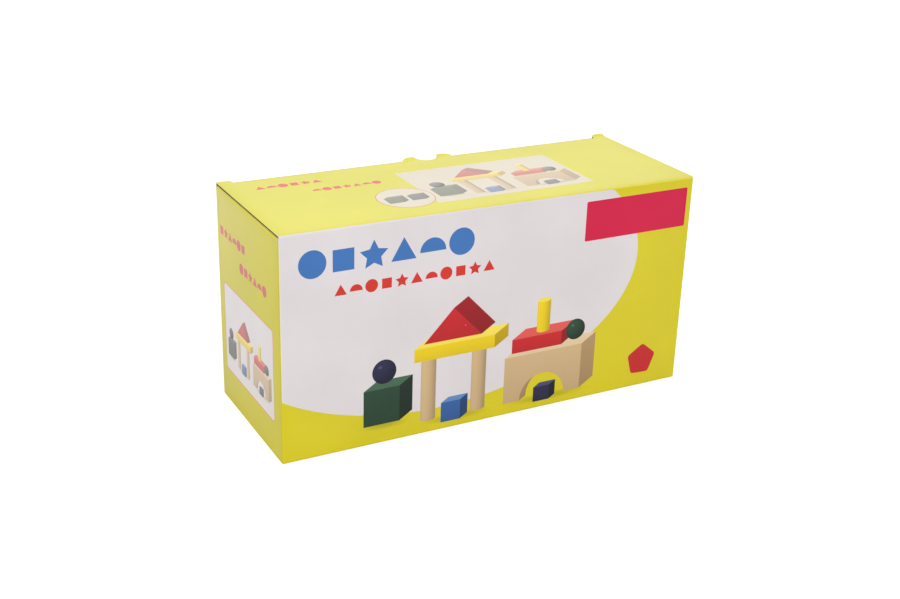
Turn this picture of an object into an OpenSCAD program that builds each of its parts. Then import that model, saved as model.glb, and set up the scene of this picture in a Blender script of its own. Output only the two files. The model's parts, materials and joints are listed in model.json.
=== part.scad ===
// Boxed toy balance: a printed tuck-top carton of thin corrugated board that holds an assembled
// two-tray wooden beam balance with its five weights.
// X runs along the carton's front, Y from front to back, Z up. The origin is the middle of the underside.

/* [Board and folds] */
// Thickness of the corrugated board
board_t = 1.5; // [1.2:0.1:2]
// Outer radius of every folded edge
fold_r = 2.5; // [2.2:0.1:3]
// Gap between two layers of board that lie on each other
layer_gap = 0.3; // [0.2:0.05:0.5]
// Width of the glued seam flap inside the tube
seam_flap_w = 25; // [18:1:32]

/* [Room round the balance] */
// Room between a tray and the carton's end wall
end_room = 6; // [5:0.5:10]
// Room between the base board and the front wall
front_room = 4; // [3:0.5:8]
// Room between a tray and the tuck flap
tuck_room = 5.4; // [4:0.2:9]
// Room between a level tray and the dust flaps, which is the height of the trays' swing and a little more
head_room = 19.9; // [19.4:0.1:30]

/* [Top closure] */
// Length of the tuck flap, measured down from the lid
tuck_depth = 18; // [14:1:19]
// Gap between the tuck flap and the back wall
tuck_gap = 2.6; // [2.4:0.1:3.5]
// Length of the two unfolded ears at the lid's back corners
ear_len = 12; // [10:1:20]
// Radius of the ears' inner corners
ear_corner_r = 4; // [2:0.5:4]
// Slit between an ear, or the finger tab, and the tuck flap
slit_w = 0.8; // [0.5:0.1:1.2]
// How far the lid's cut ends lie in from the end walls
lid_inset = 0.5; // [0.3:0.1:1]
// Width of the finger tab on the lid's back edge
tab_w = 44; // [40:1:52]
// Place of the finger tab along the carton, from the middle
tab_x = 2; // [-10:1:10]
// Corner radius of the finger tab
tab_corner_r = 4; // [2:0.5:4]
// Radius of the finger notch in the tab
notch_r = 10.5; // [9:0.5:12]
// Depth of the finger notch, measured in from the lid's back edge
notch_depth = 9; // [7:0.5:10]
// Width of the thumb cut in the back wall
thumb_w = 28; // [24:1:34]
// Depth of the thumb cut in the back wall
thumb_depth = 8; // [6:0.5:10]
// Depth of the window that the tab leaves in the tuck flap
window_depth = 7; // [6:0.5:8]
// Cut corners at the tuck flap's free edge
tuck_corner = 6; // [3:1:9]
// How far the tuck flap's ends slope in towards its free edge
tuck_slope = 2; // [0:0.5:4]
// Length of a dust flap, measured in from its fold
dust_len = 50; // [40:1:58]
// Angle at which a dust flap's front edge is cut back
dust_angle = 27; // [27:1:32]
// How far a dust flap's back edge is cut back at its tip
dust_nip = 4; // [0:1:8]
// Gap between a dust flap and the tuck flap
flap_gap = 0.9; // [0.6:0.1:1.2]

/* [Bottom closure] */
// Length of the two inner end flaps of the bottom
bottom_end_len = 62; // [50:1:70]
// How far the inner end flaps' sides are cut back at their tips
bottom_end_nip = 10; // [4:1:16]
// Gap along the bottom seam
seam_gap = 0.4; // [0.3:0.1:0.6]

/* [Base board] */
// Thickness of the base board
base_t = 12; // [11:0.5:15]
// Distance from the middle of the pillar to the base board's front edge
base_reach = 63.5; // [62:0.5:68]
// Distance from the middle of the pillar to the base board's back edge
base_back = 21.5; // [18:0.5:26]
// Corner radius of the base board
base_corner_r = 4; // [2:0.5:6]
// Base board beyond the last weight, at each end
base_end = 17.5; // [14:0.5:22]

/* [Pillar] */
// Height of the pillar above the base board
pillar_h = 130; // [125:1:135]
// Width of the pillar at its foot
pillar_foot_w = 54; // [50:1:58]
// Width of the pillar at its head
pillar_head_w = 35; // [33:1:40]
// Radius of the pillar's top corners
pillar_corner_r = 6; // [4:0.5:8]
// Thickness of each cheek beside the slot, and of each hanger plate
cheek_t = 6.5; // [6:0.1:8]
// Height of the slot's floor above the base board
slot_floor_h = 53; // [45:1:58]

/* [Beams] */
// Distance from the middle pivot to an end pivot
arm_len = 117.5; // [110:0.5:125]
// Height of a beam
beam_h = 22; // [20:0.5:22.5]
// Thickness of a beam
beam_t = 6; // [5:0.5:7]
// Gap between a beam and the wood on each side of it
beam_gap = 0.5; // [0.3:0.1:0.8]
// Height of the upper pivot above the base board
pivot_h = 106; // [103:1:112]
// Distance between the upper and the lower pivot
pivot_step = 25; // [24.5:0.5:28]
// How far the middle pivots lie above the line of the end pivots
pivot_rise = 1.5; // [0.5:0.5:2]

/* [Pivots] */
// Radius of a pivot pin
pin_r = 2.5; // [2:0.1:3]
// Radial clearance of a beam's bore round its pin
pin_clearance = 0.08; // [0.05:0.01:0.1]
// Radial clearance of a glued pin, dowel or knob in its hole
glue_clearance = 0.02; // [0.01:0.01:0.05]
// Radius of a ball cap
cap_r = 8.5; // [8:0.1:9]
// How far a ball cap's middle stands off the wood
cap_stand = 3; // [2:0.5:4]
// Depth of a pin's seat in its cap
cap_seat = 6; // [5:0.5:7]

/* [Hangers and trays] */
// Width of a hanger plate
plate_w = 26; // [24:0.5:30]
// Plate below the lower pivot
plate_foot = 11.5; // [10:0.5:14]
// Plate between the upper pivot and the tray
plate_neck = 20.5; // [20:0.5:24]
// Radius of a plate's lower corners
plate_corner_r = 5; // [3:0.5:7]
// Width and depth of a square tray
tray_w = 100; // [94:1:104]
// Height of a tray
tray_h = 12.5; // [11:0.5:16]
// Thickness of a tray's floor
tray_floor = 4.5; // [4:0.5:6]
// Width of a tray's flat rim
tray_rim = 4; // [3:0.5:6]
// How far a tray's sloping side runs in from the rim
tray_slope = 11; // [8:1:13]
// Corner radius of a tray
tray_corner_r = 3; // [2:0.5:5]
// Radius of a tray dowel
dowel_r = 2; // [1.5:0.1:2.2]
// Distance between the two dowels of a plate
dowel_step = 16; // [14:1:18]
// Depth of a dowel's hole in the plate
dowel_in_plate = 9; // [7:0.5:10]
// Depth of a dowel's hole in the tray's floor
dowel_in_tray = 3; // [2:0.5:3.5]

/* [Weights] */
// Distance between neighbouring weights
weight_pitch = 48; // [46:0.5:50]
// Distance from the middle of the pillar to the row of weights
weight_row = 42; // [41:0.5:43]
// Width of the first weight
weight_1_w = 26; // [24:1:28]
// Height of the first weight
weight_1_h = 26; // [24:1:28]
// Width of the second weight
weight_2_w = 24; // [22:1:26]
// Height of the second weight
weight_2_h = 22; // [20:1:24]
// Width of the third weight
weight_3_w = 32; // [30:1:34]
// Height of the third weight
weight_3_h = 35; // [33:1:37]
// Width of the fourth weight
weight_4_w = 34; // [32:1:36]
// Height of the fourth weight
weight_4_h = 34; // [32:1:36]
// Width of the fifth and largest weight
weight_5_w = 38; // [36:1:39]
// Height of the fifth weight
weight_5_h = 40; // [38:1:42]
// Depth of the seats in the base board
seat_depth = 3; // [2:0.5:4]
// Gap between a weight and the wall of its seat
seat_gap = 0.5; // [0.3:0.1:0.8]
// Radius of a knob's ball
knob_r = 5; // [4.5:0.1:5.5]
// Radius of a knob's neck
knob_neck_r = 2.2; // [2:0.1:2.6]
// Height of a knob's neck, up to the middle of its ball
knob_neck_h = 11; // [9:0.5:13]
// Radius of a knob's foot
knob_foot_r = 4; // [3.5:0.1:5]
// Height of a knob's foot
knob_foot_h = 2.5; // [2:0.1:3.5]
// Depth of a knob's shank in its block
knob_shank_h = 9; // [7:0.5:12]

/* [Screws] */
// Radius of a base screw's shank
screw_r = 2; // [1.5:0.1:2.5]
// Radius of a base screw's countersunk head
screw_head_r = 4; // [3.5:0.1:5]
// Height of the countersunk head
screw_head_h = 2.4; // [2:0.1:3]
// Length of a base screw
screw_len = 34; // [28:1:40]
// Distance between the two base screws
screw_step = 24; // [18:1:30]

/* [Hidden] */
$fn = 64;
cut = 1;                    // overlap of a cutting tool past the face that it cuts
wedge_reach = 4 * fold_r;   // past the outside of a fold's round, for the wedges that divide it

// The balance stands on two layers of board at the carton's ends
floor_z = 2 * board_t + layer_gap;
base_top = floor_z + base_t;
upper_z = base_top + pivot_h;
lower_z = upper_z - pivot_step;
end_upper_z = upper_z - pivot_rise;
end_lower_z = lower_z - pivot_rise;
tray_z = end_upper_z + plate_neck;
tray_top = tray_z + tray_h;
plate_foot_z = end_lower_z - plate_foot;

// The carton wraps the balance with the rooms named above
carton_l = 2 * (arm_len + tray_w / 2 + end_room + board_t);
tuck_zone = tuck_gap + board_t + tuck_room;
carton_w = 2 * board_t + front_room + base_reach + tray_w / 2 + tuck_zone;
carton_h = tray_top + head_room + 2 * board_t + layer_gap;
front_y = -carton_w / 2;
back_y = carton_w / 2;
end_x = carton_l / 2;

// Middle plane of the pillar, the beams and the hangers
mid_y = front_y + board_t + front_room + base_reach;
row_y = mid_y - weight_row;
slot_w = beam_t + 2 * beam_gap;
half_pack = slot_w / 2 + cheek_t;

// Heights of the folds at the top and of the layers at the bottom
flap_top = carton_h - board_t - layer_gap;
flap_low = flap_top - board_t;
end_low = board_t + layer_gap;
rim_z = carton_h - board_t - layer_gap;
tuck_y = back_y - board_t - tuck_gap;

// The row of weights, left to right
weight_w = [weight_1_w, weight_2_w, weight_3_w, weight_4_w, weight_5_w];
weight_h = [weight_1_h, weight_2_h, weight_3_h, weight_4_h, weight_5_h];
weight_ink = ["darkgreen", "midnightblue", "gold", "midnightblue", "darkgreen"];
function weight_x(i) = (i - 2) * weight_pitch;
base_l = 4 * weight_pitch + max(weight_1_w, weight_5_w) + 2 * base_end;

// Outlines shared by more than one sub-part

// Rectangle with round corners, centred
module round_rect(w, h, r) {
    square([w - 2 * r, h], center = true);
    square([w, h - 2 * r], center = true);
    for (sx = [-1, 1], sy = [-1, 1])
        translate([sx * (w / 2 - r), sy * (h / 2 - r)]) circle(r);
}

// Wall of the folded tube, seen from above
module tube_ring() {
    difference() {
        round_rect(carton_l, carton_w, fold_r);
        round_rect(carton_l - 2 * board_t, carton_w - 2 * board_t, fold_r - board_t);
    }
}

// Piece of a fold's round between two angles, about the fold's own centre
module fold_sector(from, to) {
    intersection() {
        difference() {
            circle(fold_r);
            circle(fold_r - board_t);
        }
        polygon([[0, 0],
                 wedge_reach * [cos(from), sin(from)],
                 wedge_reach * [cos(to), sin(to)]]);
    }
}

// Stands a Y-Z outline up and carries it along X, centred
module along_x(length) {
    rotate([90, 0, 90]) linear_extrude(length, center = true) children();
}

// Stands an X-Z outline up and carries it along Y, between two Y values
module along_y(from, to) {
    translate([0, to, 0]) rotate([90, 0, 0]) linear_extrude(to - from) children();
}

// Carton tube

// Part of the tube that belongs to the front wall, cut on the mitres of the corners
module front_slice() {
    intersection() {
        tube_ring();
        polygon([[-end_x, front_y], [end_x, front_y], [end_x - carton_w / 2, 0], [carton_w / 2 - end_x, 0]]);
    }
}

// Part of the tube that belongs to the left end wall
module left_slice() {
    intersection() {
        tube_ring();
        polygon([[-end_x, front_y], [-end_x, back_y], [carton_w / 2 - end_x, 0]]);
    }
}

module front_panel() {
    color("gold") intersection() {
        linear_extrude(carton_h) front_slice();
        along_x(carton_l) {
            translate([front_y, fold_r]) square([board_t, carton_h - 2 * fold_r]);
            translate([front_y + fold_r, carton_h - fold_r]) fold_sector(135, 180);
            translate([front_y + fold_r, fold_r]) fold_sector(180, 225);
        }
    }
}

module back_panel() {
    thumb_r = (pow(thumb_w / 2, 2) + pow(thumb_depth, 2)) / (2 * thumb_depth);
    color("gold") difference() {
        intersection() {
            linear_extrude(carton_h) mirror([0, 1]) front_slice();
            along_x(carton_l) {
                translate([back_y - board_t, fold_r]) square([board_t, rim_z - fold_r]);
                translate([back_y - fold_r, fold_r]) fold_sector(-45, 0);
            }
        }
        along_y(back_y - board_t - cut, back_y + cut)
            translate([tab_x, rim_z + thumb_r - thumb_depth]) circle(thumb_r);
    }
}

module end_panel() {
    color("gold") intersection() {
        linear_extrude(carton_h) left_slice();
        along_y(front_y, back_y) {
            translate([-end_x, end_low + fold_r]) square([board_t, flap_top - end_low - 2 * fold_r]);
            translate([-end_x + fold_r, flap_top - fold_r]) fold_sector(135, 180);
            translate([-end_x + fold_r, end_low + fold_r]) fold_sector(180, 225);
        }
    }
}

module left_panel() { end_panel(); }
module right_panel() { mirror([1, 0, 0]) end_panel(); }

// Seam flap of the tube, glued to the inside of the left end wall
module glue_flap() {
    low = end_low + fold_r + board_t;
    high = flap_low - fold_r - board_t;
    color("burlywood")
        along_y(back_y - board_t - seam_flap_w, back_y - board_t - layer_gap)
            translate([-end_x + board_t, low]) square([board_t, high - low]);
}

// Bottom closure

// Outer flap of the bottom; the front and the back one meet at the seam
module bottom_outer_flap() {
    color("gold") {
        along_x(2 * (end_x - fold_r)) translate([front_y + fold_r, fold_r]) fold_sector(225, 270);
        translate([-end_x + lid_inset, front_y + fold_r, 0])
            cube([2 * (end_x - lid_inset), -front_y - fold_r - seam_gap / 2, board_t]);
    }
}

module bottom_front_flap() { bottom_outer_flap(); }
module bottom_back_flap() { mirror([0, 1, 0]) bottom_outer_flap(); }

// Inner end flap of the bottom, glued under the outer flaps' inside
module bottom_end_flap() {
    slab_from = -end_x + fold_r;
    color("burlywood") {
        along_y(front_y + fold_r, back_y - fold_r)
            translate([-end_x + fold_r, end_low + fold_r]) fold_sector(225, 270);
        translate([0, 0, end_low]) linear_extrude(board_t)
            polygon([[slab_from, front_y + fold_r], [slab_from, back_y - fold_r],
                     [-end_x + bottom_end_len, back_y - fold_r - bottom_end_nip],
                     [-end_x + bottom_end_len, front_y + fold_r + bottom_end_nip]]);
    }
}

module bottom_left_flap() { bottom_end_flap(); }
module bottom_right_flap() { mirror([1, 0, 0]) bottom_end_flap(); }

// Top closure

// Spans of the tuck fold, left and right of the finger tab
tuck_half = end_x - lid_inset - ear_len - slit_w;
tab_half = tab_w / 2 + slit_w;
tuck_spans = [[-tuck_half, tab_x - tab_half], [tab_x + tab_half, tuck_half]];

// Ears and finger tab: the parts of the lid that run straight on to its back edge
module lid_back_edge() {
    start_y = tuck_y - fold_r - cut;
    ear_in = end_x - lid_inset - ear_len;
    ear_mid = ear_in + ear_len / 2;
    for (side = [-1, 1]) {
        translate([side * ear_mid, (start_y + back_y - ear_corner_r) / 2])
            square([ear_len, back_y - ear_corner_r - start_y], center = true);
        translate([side * (ear_mid + ear_corner_r / 2), (start_y + back_y) / 2])
            square([ear_len - ear_corner_r, back_y - start_y], center = true);
        translate([side * (ear_in + ear_corner_r), back_y - ear_corner_r]) circle(ear_corner_r);
    }
    translate([tab_x, (start_y + back_y) / 2]) {
        translate([0, -tab_corner_r / 2]) square([tab_w, back_y - start_y - tab_corner_r], center = true);
        square([tab_w - 2 * tab_corner_r, back_y - start_y], center = true);
        for (side = [-1, 1])
            translate([side * (tab_w / 2 - tab_corner_r), (back_y - start_y) / 2 - tab_corner_r])
                circle(tab_corner_r);
    }
}

module lid_panel() {
    color("yellow") difference() {
        union() {
            along_x(2 * (end_x - lid_inset))
                translate([front_y + fold_r, carton_h - fold_r]) fold_sector(90, 135);
            translate([0, 0, carton_h - board_t]) linear_extrude(board_t) {
                translate([-end_x + lid_inset, front_y + fold_r])
                    square([2 * (end_x - lid_inset), tuck_y - 2 * fold_r - front_y]);
                lid_back_edge();
            }
            for (span = tuck_spans)
                translate([(span[0] + span[1]) / 2, 0, 0]) along_x(span[1] - span[0])
                    translate([tuck_y - fold_r, carton_h - fold_r]) fold_sector(45, 90);
        }
        translate([tab_x, back_y + notch_r - notch_depth, carton_h - board_t - cut])
            cylinder(r = notch_r, h = board_t + 2 * cut);
    }
}

module tuck_flap() {
    foot_z = carton_h - tuck_depth;
    fold_z = carton_h - fold_r;
    shoulder = tuck_half - tuck_slope;
    color("gold") {
        for (span = tuck_spans)
            translate([(span[0] + span[1]) / 2, 0, 0]) along_x(span[1] - span[0])
                translate([tuck_y - fold_r, fold_z]) fold_sector(0, 45);
        along_y(tuck_y - board_t, tuck_y) difference() {
            polygon([[-tuck_half, fold_z], [tuck_half, fold_z],
                     [shoulder, foot_z + tuck_corner], [shoulder - tuck_corner, foot_z],
                     [tuck_corner - shoulder, foot_z], [-shoulder, foot_z + tuck_corner]]);
            translate([tab_x - tab_half, carton_h - window_depth])
                square([2 * tab_half, window_depth]);
        }
    }
}

// Dust flap: cut back along its front edge so that it can rise behind the opening lid, and stepped
// at the back, where it reaches under the lid's ear but stops short of the tuck flap
module dust_flap() {
    fold_x = -end_x + fold_r;
    start_y = front_y + fold_r;
    tip_x = -end_x + dust_len;
    ear_back = back_y - board_t - layer_gap;
    tuck_back = tuck_y - board_t - flap_gap;
    step_x = -end_x + lid_inset + ear_len - slit_w;
    color("gold") {
        along_y(start_y, ear_back - fold_r) translate([fold_x, flap_top - fold_r]) fold_sector(90, 135);
        translate([0, 0, flap_low]) linear_extrude(board_t)
            polygon([[fold_x, start_y], [tip_x, start_y + (dust_len - fold_r) * tan(dust_angle)],
                     [tip_x, tuck_back - dust_nip], [step_x, tuck_back], [step_x, ear_back - fold_r],
                     [fold_x, ear_back - fold_r]]);
    }
}

module left_dust_flap() { dust_flap(); }
module right_dust_flap() { mirror([1, 0, 0]) dust_flap(); }

// Stand of the balance

screw_sites = [for (side = [-1, 1]) [side * screw_step / 2, mid_y]];

module base_board() {
    depth = base_reach + base_back;
    color("burlywood") difference() {
        translate([0, mid_y + (base_back - base_reach) / 2, floor_z])
            linear_extrude(base_t) round_rect(base_l, depth, base_corner_r);
        for (i = [0:4]) {
            seat_w = weight_w[i] + 2 * seat_gap;
            translate([weight_x(i) - seat_w / 2, row_y - seat_w / 2, base_top - seat_depth])
                cube([seat_w, seat_w, seat_depth + cut]);
        }
        for (site = screw_sites) translate([site[0], site[1], floor_z]) {
            translate([0, 0, -cut]) cylinder(r = screw_r + glue_clearance, h = base_t + 2 * cut);
            cylinder(r1 = screw_head_r, r2 = screw_r, h = screw_head_h);
        }
    }
}

// Tapering outline of the pillar's face, with round top corners tangent to its sides
module pillar_face() {
    lean = atan((pillar_foot_w - pillar_head_w) / 2 / pillar_h);
    round_x = pillar_head_w / 2 - pillar_corner_r * (1 - sin(lean)) / cos(lean);
    round_z = pillar_h - pillar_corner_r;
    touch = [round_x + pillar_corner_r * cos(lean), round_z + pillar_corner_r * sin(lean)];
    polygon([[-pillar_foot_w / 2, 0], [pillar_foot_w / 2, 0], touch, [round_x, pillar_h],
             [-round_x, pillar_h], [-touch[0], touch[1]]]);
    for (side = [-1, 1]) translate([side * round_x, round_z]) circle(pillar_corner_r);
}

module pillar() {
    color("burlywood") difference() {
        along_y(mid_y - half_pack, mid_y + half_pack) translate([0, base_top]) pillar_face();
        translate([-pillar_foot_w, mid_y - slot_w / 2, base_top + slot_floor_h])
            cube([2 * pillar_foot_w, slot_w, pillar_h]);
        along_y(mid_y - half_pack - cut, mid_y + half_pack + cut)
            for (z = [upper_z, lower_z]) translate([0, z]) circle(pin_r + glue_clearance);
        for (site = screw_sites) translate([site[0], site[1], base_top - cut])
            cylinder(r = screw_r + glue_clearance, h = screw_len - base_t + 2 * cut);
    }
}

module pillar_screws() {
    color("silver") for (site = screw_sites) translate([site[0], site[1], floor_z]) {
        cylinder(r1 = screw_head_r - glue_clearance, r2 = screw_r - glue_clearance, h = screw_head_h);
        cylinder(r = screw_r, h = screw_len);
    }
}

// Pivots

// Two pins, one above the other, through a pair of cheeks or plates
module pivot_pins(x, high, low) {
    reach = half_pack + cap_seat - glue_clearance;
    color("tan") along_y(mid_y - reach, mid_y + reach)
        for (z = [high, low]) translate([x, z]) circle(pin_r);
}

// Two ball caps that stand on the wood on one side; side is -1 at the front and 1 at the rear
module ball_caps(x, high, low, side) {
    color("midnightblue") for (z = [high, low]) translate([x, mid_y + side * half_pack, z])
        rotate([-90 * side, 0, 0]) difference() {
            translate([0, 0, cap_stand]) sphere(cap_r);
            translate([-cap_r, -cap_r, -2 * cap_r]) cube(2 * cap_r);
            translate([0, 0, -cut]) cylinder(r = pin_r + glue_clearance, h = cap_seat + cut);
        }
}

module pillar_pins() { pivot_pins(0, upper_z, lower_z); }
module pillar_front_caps() { ball_caps(0, upper_z, lower_z, -1); }
module pillar_rear_caps() { ball_caps(0, upper_z, lower_z, 1); }

// Beams

// Beam with round ends; its middle bore lies above the line of its end bores
module beam(middle_z) {
    line_z = middle_z - pivot_rise;
    bore_r = pin_r + pin_clearance;
    color("burlywood") along_y(mid_y - beam_t / 2, mid_y + beam_t / 2) difference() {
        union() {
            translate([-arm_len, line_z - beam_h / 2]) square([2 * arm_len, beam_h]);
            for (side = [-1, 1]) translate([side * arm_len, line_z]) circle(beam_h / 2);
        }
        translate([0, middle_z]) circle(bore_r);
        for (side = [-1, 1]) translate([side * arm_len, line_z]) circle(bore_r);
    }
}

module upper_beam() { beam(upper_z); }
module lower_beam() { beam(lower_z); }

// Hangers and trays; side is -1 for the left pan and 1 for the right

module hanger_plate(side, from_y) {
    height = tray_z - plate_foot_z;
    corner_x = plate_w / 2 - plate_corner_r;
    color("burlywood") difference() {
        along_y(from_y, from_y + cheek_t) translate([side * arm_len, plate_foot_z]) difference() {
            union() {
                translate([-plate_w / 2, plate_corner_r]) square([plate_w, height - plate_corner_r]);
                translate([-corner_x, 0]) square([2 * corner_x, height]);
                for (turn = [-1, 1]) translate([turn * corner_x, plate_corner_r]) circle(plate_corner_r);
            }
            translate([0, plate_foot]) circle(pin_r + glue_clearance);
            translate([0, plate_foot + pivot_step]) circle(pin_r + glue_clearance);
        }
        for (step = [-1, 1])
            translate([side * arm_len + step * dowel_step / 2, from_y + cheek_t / 2, tray_z - dowel_in_plate])
                cylinder(r = dowel_r + glue_clearance, h = dowel_in_plate + cut);
    }
}

module tray(side, ink) {
    top_w = tray_w - 2 * tray_rim;
    floor_w = top_w - 2 * tray_slope;
    depth = tray_h - tray_floor;
    color(ink) difference() {
        translate([side * arm_len, mid_y, tray_z]) linear_extrude(tray_h)
            round_rect(tray_w, tray_w, tray_corner_r);
        translate([side * arm_len, mid_y, tray_z + tray_floor])
            linear_extrude(depth, scale = top_w / floor_w) square(floor_w, center = true);
        tray_dowel_sites(side)
            cylinder(r = dowel_r + glue_clearance, h = dowel_in_tray + cut);
    }
}

// Puts its child at each of a tray's four dowels, just under the tray
module tray_dowel_sites(side) {
    for (plate = [-1, 1], step = [-1, 1])
        translate([side * arm_len + step * dowel_step / 2, mid_y + plate * (half_pack - cheek_t / 2), tray_z - cut])
            children();
}

module tray_dowels(side) {
    length = dowel_in_plate + dowel_in_tray - 2 * glue_clearance;
    color("tan") tray_dowel_sites(side)
        translate([0, 0, cut - dowel_in_plate + glue_clearance]) cylinder(r = dowel_r, h = length);
}

module left_hanger_front_plate() { hanger_plate(-1, mid_y - half_pack); }
module left_hanger_rear_plate() { hanger_plate(-1, mid_y + slot_w / 2); }
module left_hanger_pins() { pivot_pins(-arm_len, end_upper_z, end_lower_z); }
module left_hanger_front_caps() { ball_caps(-arm_len, end_upper_z, end_lower_z, -1); }
module left_hanger_rear_caps() { ball_caps(-arm_len, end_upper_z, end_lower_z, 1); }
module left_tray_dowels() { tray_dowels(-1); }
module left_tray() { tray(-1, "gold"); }
module right_hanger_front_plate() { hanger_plate(1, mid_y - half_pack); }
module right_hanger_rear_plate() { hanger_plate(1, mid_y + slot_w / 2); }
module right_hanger_pins() { pivot_pins(arm_len, end_upper_z, end_lower_z); }
module right_hanger_front_caps() { ball_caps(arm_len, end_upper_z, end_lower_z, -1); }
module right_hanger_rear_caps() { ball_caps(arm_len, end_upper_z, end_lower_z, 1); }
module right_tray_dowels() { tray_dowels(1); }
module right_tray() { tray(1, "crimson"); }

// Weights: a block with a turned knob glued into its top

module weight_block(i) {
    w = weight_w[i];
    h = weight_h[i];
    color(weight_ink[i]) translate([weight_x(i), row_y, base_top - seat_depth]) difference() {
        translate([-w / 2, -w / 2, 0]) cube([w, w, h]);
        translate([0, 0, h - knob_shank_h]) cylinder(r = knob_neck_r + glue_clearance, h = knob_shank_h + cut);
    }
}

module weight_knob(i) {
    color(weight_ink[i]) translate([weight_x(i), row_y, base_top - seat_depth + weight_h[i]]) {
        translate([0, 0, glue_clearance - knob_shank_h])
            cylinder(r = knob_neck_r, h = knob_shank_h + knob_neck_h);
        cylinder(r1 = knob_foot_r, r2 = knob_neck_r, h = knob_foot_h);
        translate([0, 0, knob_neck_h]) sphere(knob_r);
    }
}

front_panel();
back_panel();
left_panel();
right_panel();
glue_flap();
bottom_front_flap();
bottom_back_flap();
bottom_left_flap();
bottom_right_flap();
lid_panel();
tuck_flap();
left_dust_flap();
right_dust_flap();
base_board();
pillar();
pillar_screws();
pillar_pins();
pillar_front_caps();
pillar_rear_caps();
upper_beam();
lower_beam();
left_hanger_front_plate();
left_hanger_rear_plate();
left_hanger_pins();
left_hanger_front_caps();
left_hanger_rear_caps();
left_tray_dowels();
left_tray();
right_hanger_front_plate();
right_hanger_rear_plate();
right_hanger_pins();
right_hanger_front_caps();
right_hanger_rear_caps();
right_tray_dowels();
right_tray();
for (i = [0:4]) {
    weight_block(i);
    weight_knob(i);
}
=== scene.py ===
"""Looks of a boxed toy balance: a printed tuck-top carton of fine corrugated board, and the wooden
two-tray balance with five weights that stands in it. Sizes are in millimetres; meshes are in metres."""
import json
import math

import bmesh
import bpy
import numpy as np
from mathutils import Matrix, Vector

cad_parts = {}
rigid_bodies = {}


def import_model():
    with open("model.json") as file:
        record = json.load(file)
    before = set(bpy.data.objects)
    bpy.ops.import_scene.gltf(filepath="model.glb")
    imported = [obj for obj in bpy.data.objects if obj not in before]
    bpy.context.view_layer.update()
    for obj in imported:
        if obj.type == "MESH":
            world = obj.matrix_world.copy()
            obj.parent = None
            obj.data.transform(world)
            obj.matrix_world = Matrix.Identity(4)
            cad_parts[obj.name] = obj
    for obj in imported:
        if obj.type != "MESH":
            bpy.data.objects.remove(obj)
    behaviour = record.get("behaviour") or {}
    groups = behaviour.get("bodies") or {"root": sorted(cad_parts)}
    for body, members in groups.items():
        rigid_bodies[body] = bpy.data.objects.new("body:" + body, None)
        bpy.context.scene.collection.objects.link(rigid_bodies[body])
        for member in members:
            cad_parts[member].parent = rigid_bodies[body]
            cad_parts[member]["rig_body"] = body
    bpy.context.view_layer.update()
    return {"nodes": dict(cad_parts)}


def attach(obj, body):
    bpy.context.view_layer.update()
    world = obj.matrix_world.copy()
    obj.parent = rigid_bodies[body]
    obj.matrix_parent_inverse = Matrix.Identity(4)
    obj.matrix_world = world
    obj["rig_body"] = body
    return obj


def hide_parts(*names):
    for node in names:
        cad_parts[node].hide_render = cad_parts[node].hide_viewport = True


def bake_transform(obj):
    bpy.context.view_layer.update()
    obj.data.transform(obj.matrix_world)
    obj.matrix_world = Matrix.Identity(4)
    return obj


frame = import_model()

# The carton
LENGTH, WIDTH, HEIGHT = 350.0, 130.0, 176.0
BOARD = 1.5
FOLD_R = 1.6
HALF_FOLD = FOLD_R * math.pi / 4
QUARTER_FOLD = FOLD_R * math.pi / 2
END_X = LENGTH / 2
SIDE_Y = WIDTH / 2
LAP = 0.3
FLAP_TOP = HEIGHT - BOARD - LAP
END_LOW = BOARD + LAP
LID_X = END_X - 0.5
TUCK_Y = 60.9
FOLD_X = END_X - FOLD_R
FOLD_Y = TUCK_Y - FOLD_R
FOLD_Z = HEIGHT - FOLD_R

# The lid's back edge: two ears, and a finger tab with a notch, all a little turned up
SLIT = 0.8
EAR_X = LID_X - 12.0
EAR_CORNER = 4.0
EAR_ROOT = 57.0
LEFT_EAR_RISE, RIGHT_EAR_RISE, TAB_RISE = 0.2, 1.3, 1.1
TUCK_X = EAR_X - SLIT
TAB_X = 2.0
TAB_HALF = 22.0
TAB_CORNER, TAB_CORNER_DEPTH = 8.0, 5.0
TAB_ROOT = 55.0
NOTCH_R = 10.5
NOTCH_Y = SIDE_Y + NOTCH_R - 9.0
WINDOW_LEFT = TAB_X - TAB_HALF - SLIT
WINDOW_RIGHT = TAB_X + TAB_HALF + SLIT
THUMB_HALF, THUMB_DEPTH = 14.0, 8.0

# The long walls' white field: its middle, from a wall's left end, and its half axes
FIELD_X, FIELD_Z = 126.0, 120.7
FIELD_WIDE, FIELD_TALL = 175.0, 101.0

# The print on the lid's fold: where the field ends, and how far its border slants each way
FIELD_END = 273.0 - END_X
PRINT_SLANT = 1.1

# Half widths of the lid's fold and of the flaps that close the ends, and of an inner flap's free edge
LID_FOLD_X = 174.2
END_FLAP_Y = 62.5
INNER_TIP_Y = 52.5

# The board's own layers, as depths below its printed face
PRINT_DEPTH = 0.12
FILM_STEP, FILM_ROOT = 0.012, 0.03
LINER = 0.25
INNER_LINER = BOARD - LINER + PRINT_DEPTH
FLUTE_PITCH = 3.3
FLUTE_RISE = 0.36
FLUTE_GAP = 0.05
MEDIUM = 0.18

# Limits within which a coordinate that isn't bent is flat
FAR = 1000.0
FREE = (-FAR, FAR)

# Kinds of face on a board piece, which number its materials
PRINTED, CUT, INSIDE, FLUTED = range(4)


def ink(red, green, blue):
    """Linear colour of a printed tone whose display values run from 0 to 255."""
    tone = np.array([red, green, blue]) / 255
    linear = np.where(tone <= 0.04045, tone / 12.92, ((tone + 0.055) / 1.055) ** 2.4)
    return np.append(linear, 1.0)


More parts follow.
